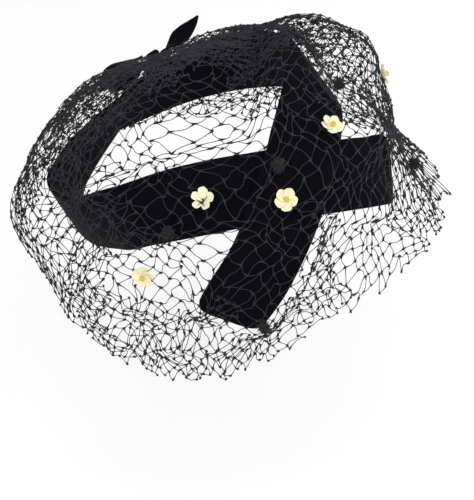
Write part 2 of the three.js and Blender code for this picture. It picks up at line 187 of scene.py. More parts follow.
def make_piece(name, points, faces, material, node):
    """A smooth mesh object from points in millimetres and a list of arrays of faces. It replaces a node
    and wears a slot's finish."""
    mesh = bpy.data.meshes.new(name)
    mesh.vertices.add(len(points))
    mesh.vertices.foreach_set("co", (np.asarray(points, np.float32) * MM).ravel())
    sizes = np.concatenate([np.full(len(f), f.shape[1]) for f in faces])
    corners = np.concatenate([f.ravel() for f in faces]).astype(np.int32)
    mesh.loops.add(len(corners))
    mesh.loops.foreach_set("vertex_index", corners)
    mesh.polygons.add(len(sizes))
    mesh.polygons.foreach_set("loop_start", np.concatenate([[0], sizes.cumsum()[:-1]]))
    mesh.polygons.foreach_set("use_smooth", np.full(len(sizes), True))
    mesh.update(calc_edges=True)
    mesh.validate()
    mesh.materials.append(material)
    piece = bpy.data.objects.new(name, mesh)
    bpy.context.scene.collection.objects.link(piece)
    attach(piece, "root")
    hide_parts(node)
    return piece


def loft_faces(rings, sides):
    """Quads between rings of points in row order, and a fan of triangles over each end."""
    ring, side = np.meshgrid(np.arange(rings - 1), np.arange(sides), indexing="ij")
    a = (ring * sides + side).ravel()
    b = (ring * sides + (side + 1) % sides).ravel()
    walls = np.stack([a, b, b + sides, a + sides], 1)
    turn = np.arange(sides)
    last = (rings - 1) * sides
    caps = np.concatenate([
        np.stack([(turn + 1) % sides, turn, np.full(sides, rings * sides)], 1),
        np.stack([last + turn, last + (turn + 1) % sides, np.full(sides, rings * sides + 1)], 1),
    ])
    return [walls, caps]


def loft(rings):
    """Points and faces of a closed loft through an array of rings, with a middle point at each end."""
    count, sides = rings.shape[:2]
    middles = np.stack([rings[0].mean(0), rings[-1].mean(0)])
    return np.vstack([rings.reshape(-1, 3), middles]), loft_faces(count, sides)


def oval(sides):
    """Flat oval section with soft corners: cos and sin of the way round, each to a small power."""
    turn = 2 * np.pi * (np.arange(sides) + 0.5) / sides
    wide = np.sign(np.cos(turn)) * np.abs(np.cos(turn)) ** 0.4
    thick = np.sign(np.sin(turn)) * np.abs(np.sin(turn)) ** 0.6
    return wide, thick


# ---- velvet band -----------------------------------------------------------------------------

BAND_ROWS = np.vstack([BAND_STATIONS[:0:-1] * [-1, 1, 1, 1], BAND_STATIONS])


def band_frame(share):
    """Middle, across and outward of the band at shares from -1 to 1: the middle line, the width's
    way down from the crown edge by its lean, and the normal; the ends part where they cross."""
    at = (share + 1) / 2
    line = BAND_ROWS[:, :3]
    middle = curve(line, at)
    along = unit(curve(line, at + 1e-4) - curve(line, at - 1e-4))
    level = unit(np.stack([-along[:, 1], along[:, 0], 0 * at], 1))
    down = unit(np.cross(along, level))
    down *= -np.sign(down[:, 2:])
    lean = np.radians(np.interp(at * (len(line) - 1), np.arange(len(line)), BAND_ROWS[:, 3]))
    across = level * np.cos(lean)[:, None] + down * np.sin(lean)[:, None]
    outward = unit(np.cross(along, across))
    lift = CROSSING_LIFT * ease(np.abs(share), CROSSING_START, CROSSING_FULL) * np.sign(share)
    return middle + outward * lift[:, None], across, outward


def band_points(share, wide, thick, swell=0.0):
    """Points of the band: shares along it by a section's wide and thick, both from -1 to 1."""
    middle, across, outward = band_frame(share)
    line = curve(BAND_ROWS[:, :3], np.linspace(0, 1, 400))
    reach = np.linalg.norm(np.diff(line, axis=0), axis=1).sum() / 2
    cut = np.clip(1 - (1 - np.abs(share)) * reach / BAND_CORNER, 0, 1)
    half = BAND_WIDTH / 2 - BAND_CORNER * (1 - np.sqrt(1 - cut * cut))
    flat = (half[:, None] * wide)[..., None] * across[:, None]
    proud = (thick * (BAND_THICKNESS / 2 + swell))[..., None] * outward[:, None]
    return hat_turn(middle[:, None] + flat + proud)


def make_band(material):
    """The padded strip: a close loft of the oval section, its faces pressed in and out by a little
    smooth noise, and its edges rounder than its middle."""
    share = np.linspace(-1, 1, 520)
    share = np.concatenate([
        -1 + 0.03 * np.linspace(0, 1, 14) ** 2, share[(share > -0.969) & (share < 0.969)],
        1 - 0.03 * np.linspace(1, 0, 14) ** 2,
    ])
    wide, thick = oval(40)
    ring = np.broadcast_to(wide, (len(share), 40)), np.broadcast_to(thick, (len(share), 40))
    base = band_points(share, *ring)
    dents = 0.28 * waves(base, 26, 3) + 0.1 * waves(base, 7, 4)
    rings = band_points(share, ring[0], ring[1], dents * (1 - np.abs(ring[0]) ** 4))
    points, faces = loft(rings)
    piece = make_piece("velvet_band_cloth", points, faces, material, "velvet_band")


# ---- veil surface ----------------------------------------------------------------------------

def band_cover():
    """Directions and distances of the band's outer skin from the middle of the head."""
    share = np.linspace(-1, 1, 361)
    wide = np.broadcast_to(np.linspace(-1, 1, 17), (361, 17))
    skins = [band_points(share, wide, np.full((361, 17), side)) for side in (-1.0, 1.0)]
    away = np.vstack([skin.reshape(-1, 3) for skin in skins]) - HEAD_MIDDLE
    return unit(away), np.linalg.norm(away, axis=1)


COVER_WAYS, COVER_REACH = band_cover()
COVER_FADE = 0.55
COVER_SPREAD = 4.5
COVER_ANGLE = 0.05             # radians


def cover_reach(ways, aside):
    """The farthest that the band reaches within an angle of each direction. Each of its points counts
    less by up to COVER_FADE as its angle eases from aside to COVER_SPREAD times that."""
    reach = np.zeros(len(ways))
    chunk = 2000
    for first in range(0, len(ways), chunk):
        near = ways[first:first + chunk] @ COVER_WAYS.T
        angle = np.arccos(np.clip(near, -1, 1))
        fade = 1 - COVER_FADE * ease(angle, aside, COVER_SPREAD * aside)
        reach[first:first + chunk] = (COVER_REACH * fade).max(1)
    return reach


COVER_STEP = 1.5               # degrees


def cover_map():
    """The band's reach in every direction, on a grid of bearings and rises."""
    bearing, rise = np.meshgrid(
        np.radians(np.arange(-180, 180.1, COVER_STEP)), np.radians(np.arange(-90, 90.1, COVER_STEP)),
        indexing="ij",
    )
    ways = np.stack([
        np.cos(rise) * np.sin(bearing), -np.cos(rise) * np.cos(bearing), np.sin(rise),
    ], 2)
    return cover_reach(ways.reshape(-1, 3), COVER_ANGLE).reshape(bearing.shape)


COVER_MAP = cover_map()


def mapped_reach(ways):
    """The band's reach read from the map, blended between its four nearest directions."""
    x = (np.degrees(np.arctan2(ways[:, 0], -ways[:, 1])) + 180) / COVER_STEP
    y = (np.degrees(np.arcsin(np.clip(ways[:, 2], -1, 1))) + 90) / COVER_STEP
    i = np.clip(x.astype(int), 0, COVER_MAP.shape[0] - 2)
    j = np.clip(y.astype(int), 0, COVER_MAP.shape[1] - 2)
    u, v = x - i, y - j
    return (
        (COVER_MAP[i, j] * (1 - v) + COVER_MAP[i, j + 1] * v) * (1 - u)
        + (COVER_MAP[i + 1, j] * (1 - v) + COVER_MAP[i + 1, j + 1] * v) * u
    )


def veil_rows(turn):
    """The veil's side view in each direction: six stations of reach and height from its top to its
    hem, smoothly eased between the table's neighbouring rows."""
    count = len(VEIL_ROWS)
    place = ((turn + 180) % 360) / (360 / count)
    low = np.floor(place).astype(int)
    share = ease(place - low, 0, 1)[:, None]
    row = VEIL_ROWS[low % count, 1:] * (1 - share) + VEIL_ROWS[(low + 1) % count, 1:] * share
    bend, waist, hem = row[:, 0:2], row[:, 2:4], row[:, 4:6]
    nothing = np.zeros(len(turn))
    return np.stack([
        np.stack([nothing, nothing + VEIL_TOP], 1),
        np.stack([0.4 * bend[:, 0], VEIL_TOP + 0.1 * (bend[:, 1] - VEIL_TOP)], 1),
        np.stack([0.75 * bend[:, 0], VEIL_TOP + 0.45 * (bend[:, 1] - VEIL_TOP)], 1),
        bend, waist, hem,
    ], 1)


def veil_points(turn, drop, lift=0.0, slack=WALL_SLACK):
    """Points of the veil: turn degrees from the front, a share drop of the way from top to hem, and
    lift millimetres proud of it. Wherever it lies on the band it is held off it by slack."""
    flat = even_curve(veil_rows(turn), np.clip(drop, 0, 1.3) * 5)
    ripple = RIPPLE_DEPTH * np.cos(np.radians(turn) * RIPPLES) * ease(drop, 0.5, 1)
    around = flat[:, 0] + ripple
    points = np.stack([
        around * np.sin(np.radians(turn)), -around * np.cos(np.radians(turn)), flat[:, 1],
    ], 1)
    away = points - HEAD_MIDDLE
    reach = np.linalg.norm(away, axis=1)
    ways = away / reach[:, None]
    reach = np.maximum(reach + lift, mapped_reach(ways) + slack + np.maximum(lift, 0))
    return HEAD_MIDDLE + ways * reach[:, None]


# ---- net -------------------------------------------------------------------------------------

def tubes(lines, radius, sides=3):
    """Closed thin tubes along an array of lines, of one radius or one for each ring: each ring stands
    square to its line, and a flat cap closes each end."""
    count, steps = lines.shape[:2]
    along = unit(np.gradient(lines, axis=1))
    out = unit(lines - HEAD_MIDDLE)
    side = unit(np.cross(along, out))
    up = np.cross(side, along)
    turn = 2 * np.pi * np.arange(sides) / sides
    ring = side[:, :, None] * np.cos(turn)[:, None] + up[:, :, None] * np.sin(turn)[:, None]
    radius = np.broadcast_to(radius, (count, steps))[:, :, None, None]
    points = (lines[:, :, None] + ring * radius).reshape(-1, 3)
    step, corner = np.meshgrid(np.arange(steps - 1), np.arange(sides), indexing="ij")
    a = (step * sides + corner).ravel()
    b = (step * sides + (corner + 1) % sides).ravel()
    wall = np.stack([a, b, b + sides, a + sides], 1)
    first = (np.arange(count) * steps * sides)[:, None, None]
    walls = (wall + first).reshape(-1, 4)
    cap = np.stack([np.arange(sides)[::-1], (steps - 1) * sides + np.arange(sides)])
    caps = (cap + first).reshape(-1, sides)
    return points, walls, caps


BALL = np.array([
    (0, 0, 1), (1, 0, 0), (0, 1, 0), (-1, 0, 0), (0, -1, 0), (0, 0, -1),
], float)
BALL_FACES = np.array([
    (0, 1, 2), (0, 2, 3), (0, 3, 4), (0, 4, 1), (5, 2, 1), (5, 3, 2), (5, 4, 3), (5, 1, 4),
])


def lumps(places, radius, rng):
    """A small rough eight-sided lump at each place, turned and stretched at random."""
    count = len(places)
    turns = np.linalg.qr(rng.normal(size=(count, 3, 3)))[0]
    turns[:, :, 0] *= np.sign(np.linalg.det(turns))[:, None]
    sizes = radius * rng.uniform(0.75, 1.3, (count, 1, 3))
    points = (BALL * sizes) @ turns.transpose(0, 2, 1) + places[:, None]
    faces = BALL_FACES + 6 * np.arange(count)[:, None, None]
    return points.reshape(-1, 3), faces.reshape(-1, 3)


CONE = 0.76                    # the flat net is a cone: this share of a full turn goes round once
TURN_LIMIT = 200
TURNS = np.linspace(-TURN_LIMIT, TURN_LIMIT, 161)
LENGTHS = np.linspace(0, 240, 121)


def drop_table():
    """For each direction, the drop that lies each distance down the veil: the running sum of the
    steps between close points of its side view, turned inside out."""
    drops = np.linspace(0, 1.3, 53)
    turn, drop = np.meshgrid(TURNS, drops, indexing="ij")
    grid = veil_points(turn.ravel(), drop.ravel()).reshape(len(TURNS), len(drops), 3)
    steps = np.linalg.norm(np.diff(grid, axis=1), axis=2)
    down = np.concatenate([np.zeros((len(TURNS), 1)), steps.cumsum(1)], 1)
    return np.stack([np.interp(LENGTHS, row, drops) for row in down])


DROPS = drop_table()


def on_veil(flat, lift, slack):
    """Flat places on the cone, laid on the veil: the angle round it gives the turn, the distance from
    its point gives the drop."""
    turn = np.degrees(np.arctan2(flat[:, 0], flat[:, 1])) / CONE
    down = np.hypot(flat[:, 0], flat[:, 1])
    x = np.clip((turn + TURN_LIMIT) / (2 * TURN_LIMIT) * (len(TURNS) - 1), 0, len(TURNS) - 1.001)
    y = np.clip(down / LENGTHS[1], 0, len(LENGTHS) - 1.001)
    i, j = x.astype(int), y.astype(int)
    u, v = x - i, y - j
    drop = (
        (DROPS[i, j] * (1 - v) + DROPS[i, j + 1] * v) * (1 - u)
        + (DROPS[i + 1, j] * (1 - v) + DROPS[i + 1, j + 1] * v) * u
    )
    return veil_points(turn, drop, lift, slack), turn, drop


def flat_line(stations):
    """Flat places along a line through stations of turn and drop: for each, the angle on the cone and
    the distance down to that drop."""
    turn, drop = even_curve(np.array(stations, float), np.linspace(0, len(stations) - 1, 60)).T
    row = np.round((turn + TURN_LIMIT) / (TURNS[1] - TURNS[0])).astype(int)
    row = np.clip(row, 0, len(TURNS) - 1)
    down = np.array([np.interp(d, DROPS[i], LENGTHS) for i, d in zip(row, drop)])
    angle = np.radians(turn * CONE)
    return np.stack([down * np.sin(angle), down * np.cos(angle)], 1)


# Where the net is drawn together: share of the way, width of the strip, and turn and drop of the
# stations along it.
GATHERS = [
    (0.5, 11, flat_line([(-95, 0.59), (-85, 0.565), (-75, 0.60), (-67, 0.625), (-60, 0.64)])),
    (0.42, 8, flat_line([(-76, 0.82), (-63, 0.835), (-52, 0.835), (-38, 0.81)])),
    (0.45, 8, flat_line([(-66, 0.92), (-50, 0.91), (-40, 0.91), (-25, 0.90), (-12, 0.87)])),
    (0.5, 8, flat_line([(-8, 0.66), (-5, 0.785), (-1, 0.92)])),
    (0.4, 11, flat_line([(-90, 0.60), (-84, 0.745), (-79, 0.835), (-74, 0.94)])),
    (0.4, 9, flat_line([(32, 0.635), (43, 0.863), (36, 1.0)])),
    (0.35, 12, flat_line([(150, 0.60), (118, 0.45), (85, 0.36), (55, 0.30), (30, 0.30)])),
]
# name, turn, drop, spin, and whether the yellow middle shows
FLOWERS = [
    ("flower_side", -42, 0.525, 10, False),
    ("flower_crossing", -15, 0.585, 40, True),
    ("flower_low", -62, 0.73, 25, True),
    ("flower_front", 15, 0.42, 5, True),
    ("flower_left", 54, 0.62, 50, True),
]
DOTS = [
    ("dot_top", 37, 0.36), ("dot_brow", 46, 0.865), ("dot_crossing", -14, 0.455),
    ("dot_side", -53, 0.62), ("dot_temple", -26, 0.83),
]
BOW = {"turn": 153.5, "drop": 0.68, "spin": 161, "tip": 36}

# Where the net puffs out, or is pressed in under the bow: turn, drop, height and width.
PUFFS = [
    (174, 0.57, 9, 13), (146, 0.50, -12, 34), (-110, 0.69, 4, 20), (66, 0.47, 4, 26), (50, 0.8, 4, 22),
]
PUFF_PLACES = np.array([flat_line([row[:2], row[:2]])[0] for row in PUFFS])
BOW_PLACE = flat_line([(150, 0.6), (150, 0.6)])[0]
DOT_PLACES = np.array([flat_line([row[1:3], row[1:3]])[0] for row in DOTS])
# Where the net is sewn flat under a flower or dot. It runs loose over the first flower.
SEWN_PLACES = np.vstack([[flat_line([row[1:3], row[1:3]])[0] for row in FLOWERS[1:]], DOT_PLACES])


def drawn(flat):
    """Flat places drawn to the gathers: each moves by a share of its way to the nearest point of the
    line, the share falling off as a bell curve of the distance."""
    for share, width, line in GATHERS:
        apart = ((flat[:, None] - line) ** 2).sum(2)
        away = flat - line[apart.argmin(1)]
        flat = flat - away * (share * np.exp(-apart.min(1) / width ** 2))[:, None]
    return flat


def gather_distance(flat):
    """Distance of flat places from the nearest gather."""
    return np.sqrt(np.min([
        ((flat[:, None] - line) ** 2).sum(2).min(1) for _, _, line in GATHERS
    ], axis=0))


def hem_reach(turn, seed):
    """Where the net ends: the veil's hem, let in and out by smooth noise round the head."""
    round_it = np.stack([np.sin(np.radians(turn)), np.cos(np.radians(turn))], 1)
    return 1 + 0.022 * waves(round_it, 0.5, seed) + 0.012 * waves(round_it, 0.16, seed + 1)


def make_net(name, material, nodes, seed, cell, keep, lift, spin=0.0, squash=1.0):
    """A piece of knotted net. Knots lie on a square lattice turned to stand on its corner and squashed
    one way, each moved by smooth and by fine noise and drawn to the gathers. The meshes whose four
    knots pass keep(flat, turn, drop) are kept; a thread joins each knot to the next, bowed aside by
    a half wave and a whole wave, and thicker towards its knots."""
    rng = np.random.default_rng(seed)
    count = int(500 / cell)
    a, b = np.meshgrid(np.arange(count) - count / 2, np.arange(count) - count / 2, indexing="ij")
    first, second = math.radians(40), math.radians(-48)
    flat = cell * (
        a.reshape(-1, 1) * [math.cos(first) * squash, math.sin(first)]
        + b.reshape(-1, 1) * [math.cos(second) * squash, math.sin(second)]
    )
    flat = flat @ turned(spin, "Z")[:2, :2].T
    drift = np.stack([waves(flat, 42, seed + 5), waves(flat, 42, seed + 6)], 1)
    crimp = np.stack([waves(flat, 14, seed + 7), waves(flat, 14, seed + 8)], 1)
    flat = flat + 0.6 * cell * drift + 0.25 * cell * crimp + rng.normal(0, 0.11 * cell, flat.shape)
    near = np.hypot(flat[:, 0], flat[:, 1]) < 250
    flat[near] = drawn(flat[near])
    down = np.hypot(flat[:, 0], flat[:, 1])
    turn = np.degrees(np.arctan2(flat[:, 0], flat[:, 1])) / CONE
    inside = (np.abs(turn) < 184) & (down < 235)
    drop = on_veil(flat, 0.0, NET_SLACK)[2]
    inside[inside] = keep(flat[inside], turn[inside], drop[inside])
    inside = inside.reshape(count, count)
    meshes = inside[:-1, :-1] & inside[1:, :-1] & inside[:-1, 1:] & inside[1:, 1:]
    used = np.zeros((count, count), bool)
    along, aside = np.zeros((count - 1, count), bool), np.zeros((count, count - 1), bool)
    for i in (0, 1):
        along[:, i:count - 1 + i] |= meshes
        aside[i:count - 1 + i] |= meshes
        for j in (0, 1):
            used[i:count - 1 + i, j:count - 1 + j] |= meshes
    number = np.arange(count * count).reshape(count, count)
    pairs = np.vstack([
        np.stack([number[:-1][along], number[1:][along]], 1),
        np.stack([number[:, :-1][aside], number[:, 1:][aside]], 1),
    ])
    pairs = pairs[np.linalg.norm(flat[pairs[:, 0]] - flat[pairs[:, 1]], axis=1) < 3 * cell]
    share = np.array(THREAD_SHARES)[None, :, None]
    start, end = flat[pairs[:, 0]][:, None], flat[pairs[:, 1]][:, None]
    bow = np.sin(np.pi * share) * rng.normal(0, 0.12 * cell, (len(pairs), 1, 2))
    bow = bow + np.sin(2 * np.pi * share) * rng.normal(0, 0.05 * cell, (len(pairs), 1, 2))
    lines = start + (end - start) * share + bow
    rise = lift(lines.reshape(-1, 2))
    lines = on_veil(lines.reshape(-1, 2), rise, NET_SLACK)[0].reshape(*lines.shape[:2], 3)
    points, walls, caps = tubes(lines, THREAD * np.array(THREAD_TAPER))
    knots = flat[used.ravel()]
    knots = on_veil(knots, lift(knots), NET_SLACK)[0]
    balls, faces = lumps(knots, KNOT, rng)
    piece = make_piece(
        name, np.vstack([points, balls]), [walls, caps, faces + len(points)], material, nodes[0],
    )
    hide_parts(*nodes)
    return piece


# ---- flowers, dots and bow -------------------------------------------------------------------

PETAL_REACH = 6.4


def seat(turn, drop, spin=0.0, tip=0.0):
    """A place on the veil and its frame there: aside, up the veil, and out of it, turned by spin about
    the last of them and then by tip about the first."""
    near = veil_points(
        np.array([turn, turn, turn, turn - 2, turn + 2], float),
        np.array([drop, drop - 0.02, drop + 0.02, drop, drop]), 0.0, SEAT_SLACK,
    )
    down, aside = unit(near[2] - near[1]), unit(near[4] - near[3])
    out = unit(np.cross(down, aside))
    aside = np.cross(out, down)
    return near[0], np.stack([aside, -down, out], 1) @ turned(spin, "Z") @ turned(tip, "X")


def onto(points, place, turn, node):
    """Points carried by a frame, then slid so that their box has the middle of the solid's box."""
    moved = points @ turn.T + place
    low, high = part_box(node)
    middle = (np.array(low) + np.array(high)) / 2 / MM
    return moved + middle - (moved.min(0) + moved.max(0)) / 2


def shell_faces(rings, around, start):
    """Faces of a closed disc: an upper and an under skin of rings about a middle point, and a rim."""
    skin = 1 + rings * around
    turn = np.arange(around)
    after = (turn + 1) % around
    quads, fans = [], []
    for under in (0, 1):
        first = start + under * skin + 1
        fan = np.stack([np.full(around, first - 1), first + turn, first + after], 1)
        ring = np.arange(rings - 1)[:, None] * around
        quad = np.stack([
            (first + ring + turn).ravel(), (first + ring + around + turn).ravel(),
            (first + ring + around + after).ravel(), (first + ring + after).ravel(),
        ], 1)
        fans.append(fan[:, ::-1] if under else fan)
        quads.append(quad[:, ::-1] if under else quad)
    edge = start + 1 + (rings - 1) * around
    quads.append(np.stack([
        edge + turn, edge + skin + turn, edge + skin + after, edge + after,
    ], 1))
    return np.vstack(quads), np.vstack(fans)


def make_flower(name, turn, drop, spin, open_middle, material, seed):
    """Five round petals, each a thin cupped disc: its height is its cup, a tilt across its width, and a
    little crimp along its middle. They lap over each other, or stand apart round an open middle."""
    rng = np.random.default_rng(seed)
    rings, around = 9, 36
    share, way = np.meshgrid(np.linspace(1 / rings, 1, rings), np.arange(around), indexing="ij")
    way = way * 2 * np.pi / around
    points, quads, fans = [], [], []
    for petal in range(5):
        apart = 0.86 if open_middle else 1
        long = PETAL_REACH * rng.uniform(0.49, 0.53) * apart
        broad = PETAL_REACH * rng.uniform(0.47, 0.53) * apart
        blunt = 1 + 0.07 * np.cos(2 * way) - 0.05 * np.cos(3 * way) + 0.03 * np.cos(5 * way + petal)
        x = np.concatenate([[0], (share * np.cos(way) * blunt).ravel()]) * long
        y = np.concatenate([[0], (share * np.sin(way) * blunt).ravel()]) * broad
        far = PETAL_REACH * (0.57 if open_middle else 0.48)
        rise = 0.045 * (x + far) ** 2 + 0.24 * y + 0.12 * np.sin(y * 2.2 + rng.uniform(0, 6))
        rise += 0.07 * y ** 2 * rng.uniform(0.2, 1.3) - 0.25 * np.exp(-((y / 0.5) ** 2)) * (x < 1.5)
        flat = np.stack([x + far, y, rise + 0.45], 1)
        angle = 72 * petal + rng.uniform(-4, 4)
        flat = flat @ turned(angle, "Z").T
        for low in (0.0, 0.3):
            points.append(flat - [0, 0, low])
        quad, fan = shell_faces(rings, around, petal * 2 * len(x))
        quads.append(quad)
        fans.append(fan)
    points = np.vstack(points)
    place, basis = seat(turn, drop, spin)
    return make_piece(
        f"{name}_petal_cloth", onto(points, place, basis, f"{name}_petals"),
        [np.vstack(quads), np.vstack(fans)], material, f"{name}_petals",
    )


def ball_grid(rings, around):
    """Unit ball of rings of latitude with a point at each pole, and its faces."""
    lat = np.linspace(0, np.pi, rings + 2)[1:-1, None]
    way = 2 * np.pi * np.arange(around) / around
    skin = np.stack([np.sin(lat) * np.cos(way), np.sin(lat) * np.sin(way), np.cos(lat) + 0 * way], 2)
    return loft(skin[::-1])


def make_stamens(name, turn, drop, spin, material, seed):
    """The yellow middle: a ball whose radius swells into rounded beads by the product of two waves."""
    points, faces = ball_grid(18, 30)
    points[-2:] = [[0, 0, -1], [0, 0, 1]]
    beads = 1 + 0.13 * waves(points, 0.85, seed) + 0.07 * waves(points, 0.4, seed + 1)
    place, basis = seat(turn, drop, spin)
    points = points * beads[:, None] * [1.5, 1.5, 1.25]
    return make_piece(
        f"{name}_beads", onto(points, place, basis, f"{name}_centre"), faces, material,
        f"{name}_centre",
    )


def make_pompom(name, turn, drop, material, seed):
    """A chenille ball: hundreds of short threads stand out of a small core, each bent a little."""
    rng = np.random.default_rng(seed)
    count = 420
    ways = unit(rng.normal(size=(count, 3)))
    far = (rng.uniform(3.0, 4.0, count) * (1 + 0.08 * waves(ways, 1.6, seed)))[:, None, None]
    share = np.linspace(0.45, 1, 4)[None, :, None]
    bend = rng.normal(0, 0.35, (count, 1, 3)) * (share - 0.45) * 2
    lines = ways[:, None] * far * share + bend * far * 0.4
    place, basis = seat(turn, drop)
    along = unit(np.gradient(lines, axis=1))
    side = unit(np.cross(along, rng.normal(size=(count, 1, 3))))
    up = np.cross(side, along)
    round_it = 2 * np.pi * np.arange(3) / 3
    ring = side[:, :, None] * np.cos(round_it)[:, None] + up[:, :, None] * np.sin(round_it)[:, None]
    thin = np.array([0.2, 0.19, 0.16, 0.09])[None, :, None, None]
    points = (lines[:, :, None] + ring * thin).reshape(-1, 3)
    _, walls, caps = tubes(lines, 1)
    core, core_faces = ball_grid(8, 14)
    core[-2:] = [[0, 0, -1], [0, 0, 1]]
    core = core * 2.3 * (1 + 0.06 * waves(core, 0.8, seed + 3))[:, None]
    faces = [walls, caps] + [f + len(points) for f in core_faces]
    return make_piece(
        f"{name}_pile", onto(np.vstack([points, core]), place, basis, name), faces, material,
        name,
    )


# Out and up of the ribbon's middle line, and half of its width.
LOOP_STATIONS = np.array([
    (0, 1.2, 4), (7, 1.2, 6), (15, 1.5, 8.5), (22, 2.8, 9.5), (24, 5.6, 9.5), (21, 8.2, 9),
    (11, 8, 6.5), (2, 6, 4),
], float)
TAIL_STATIONS = np.array([
    (0, 2, 4), (6, 3, 6), (13, 4.4, 6.6), (21, 6.4, 5), (28, 8.4, 2.6), (32, 10, 0.6),
], float)
TAIL_TWIST = 68                # degrees
LOOP_TWIST = 45
KNOT_SIZE = {"length": 12, "width": 9, "depth": 7}


def ribbon(stations, steps, seed, crease, twist):
    """Rings of a padded ribbon along a curve through its stations, in the plane of out and up, with
    pleats that fan out from its narrow end: a wave across its width that fades along it. Its width
    turns about the curve by twist, in degrees, of the share of the way along."""
    at = np.linspace(0, 1, steps)
    line = np.stack([
        KNOT_SIZE["width"] / 2 + 0.3 + stations[:, 0], 0 * stations[:, 0], stations[:, 1],
    ], 1)
    middle = curve(line, at)
    along = unit(curve(line, at + 1e-4) - curve(line, at - 1e-4))
    level = np.array([0.0, 1.0, 0.0])
    raised = unit(np.cross(along, level))
    angle = np.radians(twist(at))[:, None]
    across = level * np.cos(angle) + raised * np.sin(angle)
    outward = raised * np.cos(angle) - level * np.sin(angle)
    half = even_curve(stations[:, 2:], at * (len(stations) - 1))[:, 0]
    wide, thick = oval(32)
    pleat = crease * np.cos(wide * 7.5) * np.exp(-3.2 * at)[:, None]
    proud = thick * 0.8 + pleat
    rings = middle[:, None] + (half[:, None] * wide)[..., None] * across[:, None]
    rings = rings + proud[..., None] * outward[:, None]
    return rings + 0.16 * waves(rings, 6, seed)[..., None] * outward[:, None]


def make_bow(material):
    """The bow's folded loop, pointed tail and wrapped knot, carried together onto the veil."""
    place, basis = seat(BOW["turn"], BOW["drop"], BOW["spin"], BOW["tip"])
    loop = ribbon(LOOP_STATIONS, 90, 21, 0.5, lambda at: LOOP_TWIST * np.sin(np.pi * at))
    loop = loop @ turned(180, "Z").T
    tail = ribbon(TAIL_STATIONS, 60, 22, 0.4, lambda at: TAIL_TWIST * ease(at, 0.05, 0.6))
    at = np.linspace(-1, 1, 40)
    swell = np.sqrt(1 - (0.97 * at) ** 2)
    wide, thick = oval(32)
    knot = np.stack([
        swell[:, None] * wide * KNOT_SIZE["width"] / 2 * (1 + 0.04 * np.sin(9 * at))[:, None],
        np.broadcast_to(at[:, None] * KNOT_SIZE["length"] / 2, (40, 32)),
        KNOT_SIZE["depth"] / 2 * (1 - swell[:, None] * thick),
    ], 2)
    for name, rings in (("loop", loop), ("tail", tail), ("knot", knot)):
        points, faces = loft(rings)
        points = onto(points, place, basis, f"bow_{name}")
        make_piece(f"bow_{name}_cloth", points, faces, material, f"bow_{name}")


# ---- materials -------------------------------------------------------------------------------

def fibre_group():
    """Shared cloth detail. Mottle is slow noise made steeper; Grain is fine noise. Shade mixes both
    about 1, and Height adds them for a bump."""
    group = bpy.data.node_groups.new("fibre_detail", "ShaderNodeTree")
    face = group.interface
    face.new_socket("Vector", in_out="INPUT", socket_type="NodeSocketVector")
    for name, value in (("Mottle Scale", 40.0), ("Grain Scale", 900.0), ("Depth", 0.5)):
        face.new_socket(name, in_out="INPUT", socket_type="NodeSocketFloat").default_value = value
    face.new_socket("Shade", in_out="OUTPUT", socket_type="NodeSocketFloat")
    face.new_socket("Height", in_out="OUTPUT", socket_type="NodeSocketFloat")
    nodes, link = group.nodes, group.links.new
    inside, outside = nodes.new("NodeGroupInput"), nodes.new("NodeGroupOutput")
    mottle, grain = nodes.new("ShaderNodeTexNoise"), nodes.new("ShaderNodeTexNoise")
    for noise, scale, detail in ((mottle, "Mottle Scale", 3.0), (grain, "Grain Scale", 2.0)):
        link(inside.outputs["Vector"], noise.inputs["Vector"])
        link(inside.outputs[scale], noise.inputs["Scale"])
        noise.inputs["Detail"].default_value = detail
    both = nodes.new("ShaderNodeMath")
    both.operation = "ADD"
    link(mottle.outputs["Fac"], both.inputs[0])
    link(grain.outputs["Fac"], both.inputs[1])
    centred = nodes.new("ShaderNodeMath")
    centred.operation = "SUBTRACT"
    link(both.outputs[0], centred.inputs[0])
    centred.inputs[1].default_value = 1.0
    shade = nodes.new("ShaderNodeMath")
    shade.operation = "MULTIPLY_ADD"
    link(centred.outputs[0], shade.inputs[0])
    link(inside.outputs["Depth"], shade.inputs[1])
    shade.inputs[2].default_value = 0.5
    shade.use_clamp = True
    link(shade.outputs[0], outside.inputs["Shade"])
    link(both.outputs[0], outside.inputs["Height"])
    return group


FIBRES = fibre_group()


def cloth(name, dark, light, mottle, grain, depth, bump, bump_far, **fixed):
    """A cloth finish: base colour between dark and light by the shade of the fibre detail, its height
    as a bump, and fixed values set on the shader's own sockets."""
    material = bpy.data.materials.new(name)
    material.use_nodes = True
    nodes, link = material.node_tree.nodes, material.node_tree.links.new
    shader = nodes["Principled BSDF"]
    place = nodes.new("ShaderNodeTexCoord")
    detail = nodes.new("ShaderNodeGroup")
    detail.node_tree = FIBRES
    link(place.outputs["Object"], detail.inputs["Vector"])
    detail.inputs["Mottle Scale"].default_value = mottle
    detail.inputs["Grain Scale"].default_value = grain
    detail.inputs["Depth"].default_value = depth
    mix = nodes.new("ShaderNodeMix")
    mix.data_type = "RGBA"
    link(detail.outputs["Shade"], mix.inputs["Factor"])
    mix.inputs["A"].default_value = (*dark, 1)
    mix.inputs["B"].default_value = (*light, 1)
    link(mix.outputs["Result"], shader.inputs["Base Color"])
    raised = nodes.new("ShaderNodeBump")
    raised.inputs["Strength"].default_value = bump
    raised.inputs["Distance"].default_value = bump_far
    link(detail.outputs["Height"], raised.inputs["Height"])
    link(raised.outputs["Normal"], shader.inputs["Normal"])
    for socket, value in fixed.items():
        shader.inputs[socket.replace("_", " ")].default_value = value
    return material


